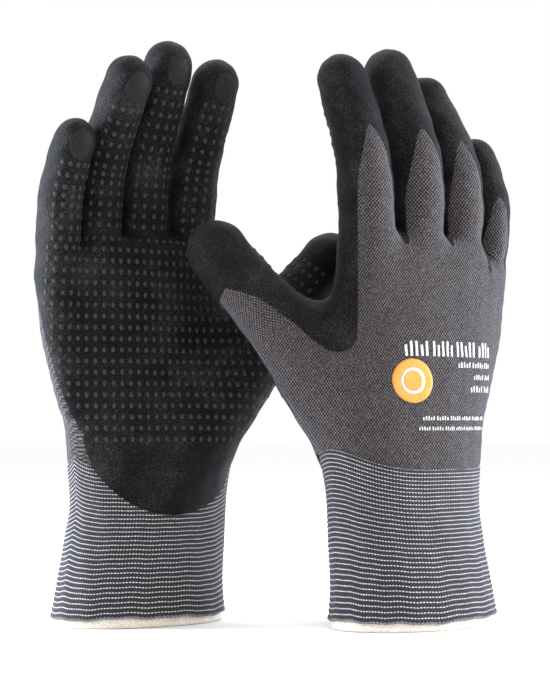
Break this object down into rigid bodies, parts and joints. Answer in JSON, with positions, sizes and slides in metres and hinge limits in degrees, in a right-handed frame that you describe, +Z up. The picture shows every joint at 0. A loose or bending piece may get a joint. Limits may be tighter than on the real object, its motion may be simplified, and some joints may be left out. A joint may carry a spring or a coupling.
{
  "type": "pair of work gloves",
  "caption": "Seamless-knit work gloves with a black foam-dipped, dotted palm and striped elastic cuffs, standing on the cuffs with the palm and the back outwards.",
  "frame": {"origin": "on the floor, midway between the two cuffs", "axes": "+Z up towards the fingertips; -Y out of the palm of glove palm_out, +Y out of the palm of glove back_out; +X towards the thumb side of palm_out"},
  "size_m": [0.1972, 0.1298, 0.25],
  "materials": {
    "grey_knit": "fine knit",
    "black_foam": "matte foam",
    "striped_knit": "ribbed knit with thin light stripes",
    "cream_knit": "knit",
    "hem_yarn": "overlocked yarn",
    "orange_print": "matte print",
    "white_print": "matte print"
  },
  "bodies": {
    "palm_out_hand": {"palm_out_hand_liner": "grey_knit", "palm_out_palm_coat": "black_foam", "palm_out_cuff": "striped_knit", "palm_out_cuff_lining": "cream_knit", "palm_out_hem_thread": "hem_yarn", "palm_out_print_badge": "orange_print", "palm_out_print_bars": "white_print"},
    "palm_out_index_base": {"palm_out_index_base_liner": "grey_knit", "palm_out_index_base_coat": "black_foam"},
    "palm_out_index_tip": {"palm_out_index_tip_liner": "grey_knit", "palm_out_index_tip_coat": "black_foam"},
    "palm_out_middle_base": {"palm_out_middle_base_liner": "grey_knit", "palm_out_middle_base_coat": "black_foam"},
    "palm_out_middle_tip": {"palm_out_middle_tip_liner": "grey_knit", "palm_out_middle_tip_coat": "black_foam"},
    "palm_out_ring_base": {"palm_out_ring_base_liner": "grey_knit", "palm_out_ring_base_coat": "black_foam"},
    "palm_out_ring_tip": {"palm_out_ring_tip_liner": "grey_knit", "palm_out_ring_tip_coat": "black_foam"},
    "palm_out_little_base": {"palm_out_little_base_liner": "grey_knit", "palm_out_little_base_coat": "black_foam"},
    "palm_out_little_tip": {"palm_out_little_tip_liner": "grey_knit", "palm_out_little_tip_coat": "black_foam"},
    "palm_out_thumb_base": {"palm_out_thumb_base_liner": "grey_knit", "palm_out_thumb_base_coat": "black_foam"},
    "palm_out_thumb_tip": {"palm_out_thumb_tip_liner": "grey_knit", "palm_out_thumb_tip_coat": "black_foam"},
    "back_out_hand": {"back_out_hand_liner": "grey_knit", "back_out_palm_coat": "black_foam", "back_out_cuff": "striped_knit", "back_out_cuff_lining": "cream_knit", "back_out_hem_thread": "hem_yarn", "back_out_print_badge": "orange_print", "back_out_print_bars": "white_print"},
    "back_out_index_base": {"back_out_index_base_liner": "grey_knit", "back_out_index_base_coat": "black_foam"},
    "back_out_index_tip": {"back_out_index_tip_liner": "grey_knit", "back_out_index_tip_coat": "black_foam"},
    "back_out_middle_base": {"back_out_middle_base_liner": "grey_knit", "back_out_middle_base_coat": "black_foam"},
    "back_out_middle_tip": {"back_out_middle_tip_liner": "grey_knit", "back_out_middle_tip_coat": "black_foam"},
    "back_out_ring_base": {"back_out_ring_base_liner": "grey_knit", "back_out_ring_base_coat": "black_foam"},
    "back_out_ring_tip": {"back_out_ring_tip_liner": "grey_knit", "back_out_ring_tip_coat": "black_foam"},
    "back_out_little_base": {"back_out_little_base_liner": "grey_knit", "back_out_little_base_coat": "black_foam"},
    "back_out_little_tip": {"back_out_little_tip_liner": "grey_knit", "back_out_little_tip_coat": "black_foam"},
    "back_out_thumb_base": {"back_out_thumb_base_liner": "grey_knit", "back_out_thumb_base_coat": "black_foam"},
    "back_out_thumb_tip": {"back_out_thumb_tip_liner": "grey_knit", "back_out_thumb_tip_coat": "black_foam"}
  },
  "joints": [
    {"name": "back_out_lift", "type": "slide", "parent": "palm_out_hand", "child": "back_out_hand", "axis": [0, 0, 1], "range_m": [0, 0.27]},
    {"name": "palm_out_index_root", "type": "hinge", "parent": "palm_out_hand", "child": "palm_out_index_base", "pos_m": [-0.0221, 0.0377, 0.1685], "axis": [1, 0, 0], "range_deg": [0, 60]},
    {"name": "palm_out_index_middle", "type": "hinge", "parent": "palm_out_index_base", "child": "palm_out_index_tip", "pos_m": [-0.0221, 0.0355, 0.198], "axis": [1, 0, 0], "range_deg": [0, 70]},
    {"name": "palm_out_middle_root", "type": "hinge", "parent": "palm_out_hand", "child": "palm_out_middle_base", "pos_m": [-0.0461, 0.0391, 0.1685], "axis": [1, 0, 0], "range_deg": [0, 60]},
    {"name": "palm_out_middle_middle", "type": "hinge", "parent": "palm_out_middle_base", "child": "palm_out_middle_tip", "pos_m": [-0.0461, 0.0375, 0.2], "axis": [1, 0, 0], "range_deg": [0, 70]},
    {"name": "palm_out_ring_root", "type": "hinge", "parent": "palm_out_hand", "child": "palm_out_ring_base", "pos_m": [-0.0685, 0.0375, 0.1685], "axis": [1, 0, 0], "range_deg": [0, 60]},
    {"name": "palm_out_ring_middle", "type": "hinge", "parent": "palm_out_ring_base", "child": "palm_out_ring_tip", "pos_m": [-0.0685, 0.0349, 0.197], "axis": [1, 0, 0], "range_deg": [0, 70]},
    {"name": "palm_out_little_root", "type": "hinge", "parent": "palm_out_hand", "child": "palm_out_little_base", "pos_m": [-0.0887, 0.0333, 0.1605], "axis": [1, 0, 0], "range_deg": [0, 60]},
    {"name": "palm_out_little_middle", "type": "hinge", "parent": "palm_out_little_base", "child": "palm_out_little_tip", "pos_m": [-0.0887, 0.0313, 0.184], "axis": [1, 0, 0], "range_deg": [0, 70]},
    {"name": "palm_out_thumb_root", "type": "hinge", "parent": "palm_out_hand", "child": "palm_out_thumb_base", "pos_m": [0.0044, 0.0188, 0.122], "axis": [-0.1441, -0.9717, -0.1874], "range_deg": [0, 20]},
    {"name": "palm_out_thumb_middle", "type": "hinge", "parent": "palm_out_thumb_base", "child": "palm_out_thumb_tip", "pos_m": [0.0204, 0.0123, 0.1434], "axis": [-0.1325, -0.9761, -0.1723], "range_deg": [0, 40]},
    {"name": "back_out_index_root", "type": "hinge", "parent": "back_out_hand", "child": "back_out_index_base", "pos_m": [0.0221, -0.0377, 0.1685], "axis": [-1, 0, 0], "range_deg": [0, 60]},
    {"name": "back_out_index_middle", "type": "hinge", "parent": "back_out_index_base", "child": "back_out_index_tip", "pos_m": [0.0221, -0.0355, 0.198], "axis": [-1, 0, 0], "range_deg": [0, 70]},
    {"name": "back_out_middle_root", "type": "hinge", "parent": "back_out_hand", "child": "back_out_middle_base", "pos_m": [0.0461, -0.0391, 0.1685], "axis": [-1, 0, 0], "range_deg": [0, 60]},
    {"name": "back_out_middle_middle", "type": "hinge", "parent": "back_out_middle_base", "child": "back_out_middle_tip", "pos_m": [0.0461, -0.0375, 0.2], "axis": [-1, 0, 0], "range_deg": [0, 70]},
    {"name": "back_out_ring_root", "type": "hinge", "parent": "back_out_hand", "child": "back_out_ring_base", "pos_m": [0.0685, -0.0375, 0.1685], "axis": [-1, 0, 0], "range_deg": [0, 60]},
    {"name": "back_out_ring_middle", "type": "hinge", "parent": "back_out_ring_base", "child": "back_out_ring_tip", "pos_m": [0.0685, -0.0349, 0.197], "axis": [-1, 0, 0], "range_deg": [0, 70]},
    {"name": "back_out_little_root", "type": "hinge", "parent": "back_out_hand", "child": "back_out_little_base", "pos_m": [0.0887, -0.0333, 0.1605], "axis": [-1, 0, 0], "range_deg": [0, 60]},
    {"name": "back_out_little_middle", "type": "hinge", "parent": "back_out_little_base", "child": "back_out_little_tip", "pos_m": [0.0887, -0.0313, 0.184], "axis": [-1, 0, 0], "range_deg": [0, 70]},
    {"name": "back_out_thumb_root", "type": "hinge", "parent": "back_out_hand", "child": "back_out_thumb_base", "pos_m": [-0.0044, -0.0188, 0.122], "axis": [0.1441, 0.9717, -0.1874], "range_deg": [0, 20]},
    {"name": "back_out_thumb_middle", "type": "hinge", "parent": "back_out_thumb_base", "child": "back_out_thumb_tip", "pos_m": [-0.0204, -0.0123, 0.1434], "axis": [0.1325, 0.9761, -0.1723], "range_deg": [0, 40]}
  ]
}
